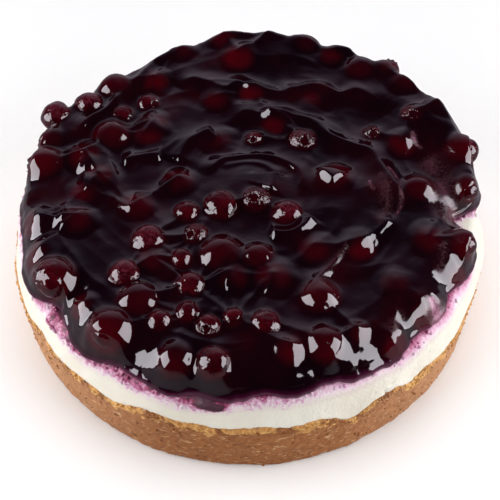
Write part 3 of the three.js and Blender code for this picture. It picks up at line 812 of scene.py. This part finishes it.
# Where cream has come up through it in pale wisps: the angles and distances of their line,
# strength, width towards the middle of the cake and width towards its rim.
cream_wisps = [
    ([(8, 35.4), (4, 36.4), (0, 37.4), (355, 38.2), (349, 38.4), (342, 37.6)], 0.95, 0.5, 0.4),
    ([(6, 32), (0, 34), (352, 35), (343, 35.4), (334, 34.6)], 0.4, 3, 2),
    ([(2, 30), (357, 31), (354, 32)], 0.7, 0.5, 0.5),
    ([(322, 30.6), (314, 31.4), (307.7, 32.3), (299, 34.4), (294, 36)], 0.45, 0.7, 1.2),
    ([(22, 46), (19.4, 45.6), (16.5, 45.8), (14, 47)], 1, 0.7, 0.7),
    ([(322, 53.5), (320.7, 55.2), (319, 57), (317, 58)], 1.1, 1.5, 1.5),
    ([(326, 58), (323, 57.4), (319, 58)], 0.7, 1.2, 1.2),
    ([(14, 46), (6, 48), (358, 49.6), (350, 50.4), (344, 50)], 0.5, 5, 5),
    ([(338, 50), (333, 51.6), (328, 53)], 0.45, 2, 2),
    ([(345, 49), (341, 52), (338, 55)], 0.4, 2.4, 2.4),
    ([(314, 52), (309, 53), (305, 55)], 0.4, 1.6, 1.6),
]


def filling_level(radius, angle):
    """The height of the filling's top, rounded down at its edge."""
    over = np.maximum(0, radius - wall_wave(angle) - (filling_radius - filling_round))
    return filling_top - filling_round + np.sqrt(np.maximum(0, filling_round ** 2 - over ** 2))


def drift(points, reach, size, seeds):
    """The points moved sideways by smooth noise, so that what is laid out from them wanders."""
    moved = points.copy()
    for axis, seed in enumerate(seeds):
        moved[:, axis] += reach * lumps(points, size, seed)
    return moved


def fold_rise(points, crest, rise, inner_width, outer_width):
    """The rise of one fold, steeper on one side of its crest, fading at both ends."""
    knots = np.array([place(distance, angle, 0)[:2] for angle, distance in crest])
    padded = np.concatenate([[2 * knots[0] - knots[1]], knots, [2 * knots[-1] - knots[-2]]])
    share = np.linspace(0, 1, 24, endpoint=False)[:, None]
    pieces = []
    for a, b, c, d in zip(padded, padded[1:], padded[2:], padded[3:]):
        pieces.append(0.5 * (2 * b + (c - a) * share + (2 * a - 5 * b + 4 * c - d) * share ** 2
                             + (3 * b - a - 3 * c + d) * share ** 3))
    line = np.concatenate(pieces)
    total = np.zeros(len(points))
    reach = 3 * max(inner_width, outer_width)
    low, high = line.min(0) - reach, line.max(0) + reach
    near = np.flatnonzero(np.all((points[:, :2] > low) & (points[:, :2] < high), axis=1))
    flat = points[near, :2]
    gaps = np.linalg.norm(flat[:, None] - line[None], axis=2)
    closest = gaps.argmin(1)
    distance = gaps[np.arange(len(near)), closest]
    outside = np.hypot(*flat.T) > np.hypot(*line[closest].T)
    width = np.where(outside, outer_width, inner_width)
    along = closest / len(line)
    fade = ease(along, 0, 0.14) * (1 - ease(along, 0.86, 1))
    total[near] = rise * fade * np.exp(-((distance / width) ** 1.35))
    return total


def swirl(points, spacing, turns, seed):
    """Creases that run round the cake, a given spacing apart, from about -0.5 to 0.5."""
    radius, _ = polar(points)
    wander = 3.0 * lumps(points, 15, 41 + seed)
    spread = np.maximum(radius, 4)
    around = np.stack([(radius + wander) / spacing, turns * points[:, 0] / spread,
                       turns * points[:, 1] / spread], axis=1)
    return 0.5 - 1.6 * np.abs(lumps(around, 1, seed))


def web_rise(points):
    """The rise of the creases in which the glaze is drawn from berry to berry."""
    middles = np.array([place(berry[0], berry[1], 0)[:2] for berry in berries + sunk_berries])
    chance = np.random.default_rng(11)
    total = np.zeros(len(points))
    for k, start in enumerate(middles):
        for end in middles[k + 1:]:
            span = end - start
            length = np.linalg.norm(span)
            if length > web_length or chance.random() > web_share:
                continue
            rise = chance.uniform(0.4, 1.1)
            from_middle = np.linalg.norm(points[:, :2] - (start + end) / 2, axis=1)
            near = np.flatnonzero(from_middle < length / 2 + web_reach)
            offset = points[near, :2] - start
            along = np.clip(offset @ span / length ** 2, 0, 1)
            away = np.linalg.norm(offset - along[:, None] * span, axis=1)
            total[near] = np.maximum(total[near], rise * np.exp(-((away / web_width) ** 1.2)))
    return total


def distance_inside(points):
    """How far inside the glaze's outline each point lies."""
    angle = round_angles(glaze_sides)
    outline = place(glaze_outline(angle), angle, 0)
    nearest = kdtree.KDTree(glaze_sides)
    for number, corner in enumerate(outline):
        nearest.insert(corner, number)
    nearest.balance()
    return np.array([nearest.find(point)[2] for point in points])


def edge_share(within, angle):
    """The share of its depth that the glaze has at a distance inside its outline: a rounded
    bead at the very edge, then a slope that is longest at the front."""
    front = 0.5 - 0.5 * np.sin(np.radians(angle))
    slope_width = slope_back + (slope_front - slope_back) * ease(front, 0.3, 0.8)
    bead = np.sqrt(1 - (1 - np.clip(within / bead_width, 0, 1)) ** 2)
    slope = 1 - (1 - np.clip(within / slope_width, 0, 1)) ** 2
    share = bead_share + rim_rise(angle, tall_edges) + 0.14 * lumps(place(glaze_radius, angle, 0), 8, 19)
    return share * bead + (1 - share) * slope


def glaze_base(points, angle, within, floor):
    """The glaze's level without its berries: its depth, swells, folds, webs and creases."""
    points = drift(points, 0.9, 8, (51, 61))
    depth = np.full(len(points), float(glaze_depth))
    for distance, turn, rise, width in swells:
        away = np.linalg.norm(points[:, :2] - place(distance, turn, 0)[:2], axis=1) / width
        depth += rise * np.exp(-(away ** 2))
    for fold in folds:
        depth += fold_rise(points, *fold)
    depth += web_rise(points)
    drawn = ease(lumps(points, 13, 23), -0.15, 0.3)
    outer = ease(polar(points)[0], 9, 17)
    depth += outer * crease_rise * swirl(points, 9, 1.4, 17)
    depth += outer * fine_crease_rise * drawn * swirl(points, 3.6, 2.2, 29)
    depth += relief(points, level_relief)
    return floor + depth * edge_share(within, angle)


def ball_height(away):
    """The height of a ball over its middle, both as shares of its radius. Past its steep side it
    falls on in a straight line, so that what is poured over it has no step."""
    steep = 0.9
    side = math.sqrt(1 - steep ** 2)
    curved = np.sqrt(1 - np.minimum(away, steep) ** 2)
    return curved - np.maximum(away - steep, 0) * steep / side


def berry_domes(points, level, within):
    """The level raised over the berries, and how far the glaze's surface is from the nearest one,
    with its veil added."""
    held = ease(within, -0.6, 2.4)
    raised = level.copy()
    uneven = 0.35 * lumps(points, 4.5, 71)
    warped = drift(points, 0.8, 5, (81, 91))
    balls = []
    for distance, angle, width, rise in sunk_berries:
        middle = place(distance, angle, 0.0)
        gap = np.linalg.norm(points[:, :2] - middle[:2], axis=1)
        middle[2] = level[gap.argmin()] + rise - sunk_film - berry_flatness * width / 2
        balls.append((middle, width / 2, sunk_veil))
        away = np.linalg.norm(warped[:, :2] - middle[:2], axis=1) / (mound_spread * width)
        raised += rise * np.clip(1 - away ** 2, 0, 1) ** 1.5
    for number, (distance, angle, width, lift, _, _) in enumerate(berries, 1):
        middle = berry_middle(distance, angle, width, lift)
        half = width / 2
        coated = number in coated_berries
        film, sharpness, veil = bare_film, bare_meniscus, bare_veil
        if coated:
            film, sharpness, veil = coated_film, coated_meniscus, 0
        balls.append((middle, half, veil))
        away = np.linalg.norm(points[:, :2] - middle[:2], axis=1) / (half + film)
        near = np.flatnonzero(away < 2)
        dome = middle[2] + (berry_flatness * half + film) * ball_height(away[near])
        dome += uneven[near] * coated
        gap = np.clip(sharpness * (dome - raised[near]), -30, 30)
        raised[near] += held[near] * np.log1p(np.exp(gap)) / sharpness
    skin = np.full(len(points), out_of_reach)
    shown = np.column_stack([points[:, :2], raised])
    for middle, half, veil in balls:
        close = np.flatnonzero(np.abs(shown[:, :2] - middle[:2]).max(1) < 3 * half)
        scaled = (shown[close] - middle) / [half, half, half * berry_flatness]
        skin[close] = np.minimum(skin[close], (np.linalg.norm(scaled, axis=1) - 1) * half + veil)
    return raised, skin


def glaze_points():
    """The rings of the glaze, how much cream each point has, how far from a berry it lies and
    how high over the filling."""
    rings = []
    angle = round_angles(glaze_sides)
    for turn in np.radians(np.linspace(90, 0, 16)):
        rings.append(place(glaze_outline(angle) - bead_width * (1 - math.sin(turn)), angle, 0))
    reach = glaze_radius - bead_width - glaze_step
    while reach > glaze_step:
        sides = glaze_sides
        while sides > 24 and math.tau * reach / sides < 0.62 * glaze_step:
            sides //= 2
        angle = round_angles(sides)
        shrunk = reach / (glaze_radius - bead_width)
        rings.append(place((glaze_outline(angle) - bead_width) * shrunk, angle, 0))
        reach -= glaze_step
    rings.append(place(0, 0, np.zeros(1)))
    points = np.concatenate(rings)
    radius, angle = polar(points)
    within = distance_inside(points)
    floor = filling_level(np.minimum(radius, furthest_foot), angle) + seam_gap
    level = glaze_base(points, angle, within, floor)
    level, skin = berry_domes(points, level, within)
    level = floor + (level - floor) * ease(within, -0.4, 0.4)
    points[:, 2] = level
    bead = lip_overhang * np.exp(-(((level - floor - lip_rise) / 0.8) ** 2)) * (within < bead_width)
    points[:, :2] *= (1 + bead / np.maximum(radius, 1))[:, None]
    under = [place(0, 0, np.full(1, filling_top + seam_gap))]
    for share, sides in ((0.5, 96), (0.85, 384), (0.96, glaze_sides)):
        angle = round_angles(sides)
        radius = glaze_outline(angle) * share
        foot = filling_level(np.minimum(radius, furthest_foot), angle) + seam_gap
        under.append(place(radius, angle, foot))
    points = np.concatenate(under + [points])
    hidden = np.full(len(points) - len(level), out_of_reach)
    drifted = drift(points, 0.7, 3, (97, 87))
    attributes = {
        "wisps": sum(fold_rise(drifted, *wisp) for wisp in cream_wisps),
        "skin": np.concatenate([hidden, skin]),
        "height": np.concatenate([hidden, level - floor]),
    }
    return points, ring_faces([len(ring) for ring in under + rings]), attributes


def glaze_finish():
    """Starch-set blueberry syrup: nearly black violet and mirror bright, wine red where a berry
    lies just under its surface, magenta where it thins out at the edge, and dull lilac where
    cream has come up through it in grains of about 0.6 mm."""
    material, tree, shader = new_material("set_blueberry_syrup")
    spot = add(tree, "ShaderNodeTexCoord").outputs["Object"]
    clouds, drawn, ripples, fine = [
        add(tree, "ShaderNodeTexNoise", {"Vector": spot, "Scale": grains(size), "Detail": detail}).outputs[0]
        for size, detail in ((14.3, 3), (5.88, 4), (3.85, 2), (0.588, 3))
    ]
    gel = add(tree, "ShaderNodeValToRGB", {0: clouds}, [
        (0.35, "#0c0206"), (0.55, "#140207"), (0.75, "#240207"),
    ]).outputs[0]
    skin = add(tree, "ShaderNodeAttribute", attribute_name="skin").outputs["Fac"]
    near = add(tree, "ShaderNodeMapRange", {0: skin, 1: 1.9, 2: 0.4}).outputs[0]
    veiled = add(tree, "ShaderNodeMath", {0: near, 1: clouds, 2: 0.3}, operation="MULTIPLY_ADD").outputs[0]
    seen = add(tree, "ShaderNodeMath", {0: near, 1: veiled}, operation="MULTIPLY").outputs[0]
    wine = add(tree, "ShaderNodeMix", {0: seen, 6: gel, 7: linear("#3e0108")}, data_type="RGBA").outputs[2]
    height = add(tree, "ShaderNodeAttribute", attribute_name="height").outputs["Fac"]
    thin = add(tree, "ShaderNodeMapRange", {0: height, 1: 2.0, 2: 0.1}).outputs[0]
    edged = add(tree, "ShaderNodeMix", {0: thin, 6: wine, 7: linear("#571438")},
                data_type="RGBA").outputs[2]
    wisps = add(tree, "ShaderNodeAttribute", attribute_name="wisps").outputs["Fac"]
    grainy = add(tree, "ShaderNodeMath", {0: fine, 1: drawn}, operation="ADD").outputs[0]
    patchy = add(tree, "ShaderNodeMapRange", {0: grainy, 1: 0.8, 2: 1.25, 3: 0.4, 4: 1.2}).outputs[0]
    cream = add(tree, "ShaderNodeMath", {0: wisps, 1: patchy}, operation="MULTIPLY").outputs[0]
    pale = add(tree, "ShaderNodeMapRange", {0: cream, 1: 0.08, 2: 0.7, 4: 0.8}).outputs[0]
    lilac = add(tree, "ShaderNodeValToRGB", {0: cream}, [
        (0.2, "#3a1219"), (0.5, "#4c1f2d"), (1.0, "#a0607c"),
    ]).outputs[0]
    colour = add(tree, "ShaderNodeMix", {0: pale, 6: edged, 7: lilac}, data_type="RGBA").outputs[2]
    tree.links.new(colour, shader.inputs["Base Color"])
    gloss = add(tree, "ShaderNodeMapRange", {0: pale, 1: 0.0, 2: 0.3, 3: 0.06, 4: 0.3}).outputs[0]
    tree.links.new(gloss, shader.inputs["Roughness"])
    bump = add(tree, "ShaderNodeBump", {"Height": ripples, "Distance": 0.5 * METRES, "Strength": 0.2})
    tree.links.new(bump.outputs[0], shader.inputs["Normal"])
    shader.inputs["IOR"].default_value = 1.5
    return material


glaze = make_mesh("blueberry_glaze", *glaze_points())
glaze.data.materials.append(glaze_finish())
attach(glaze, "root")
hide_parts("glaze")
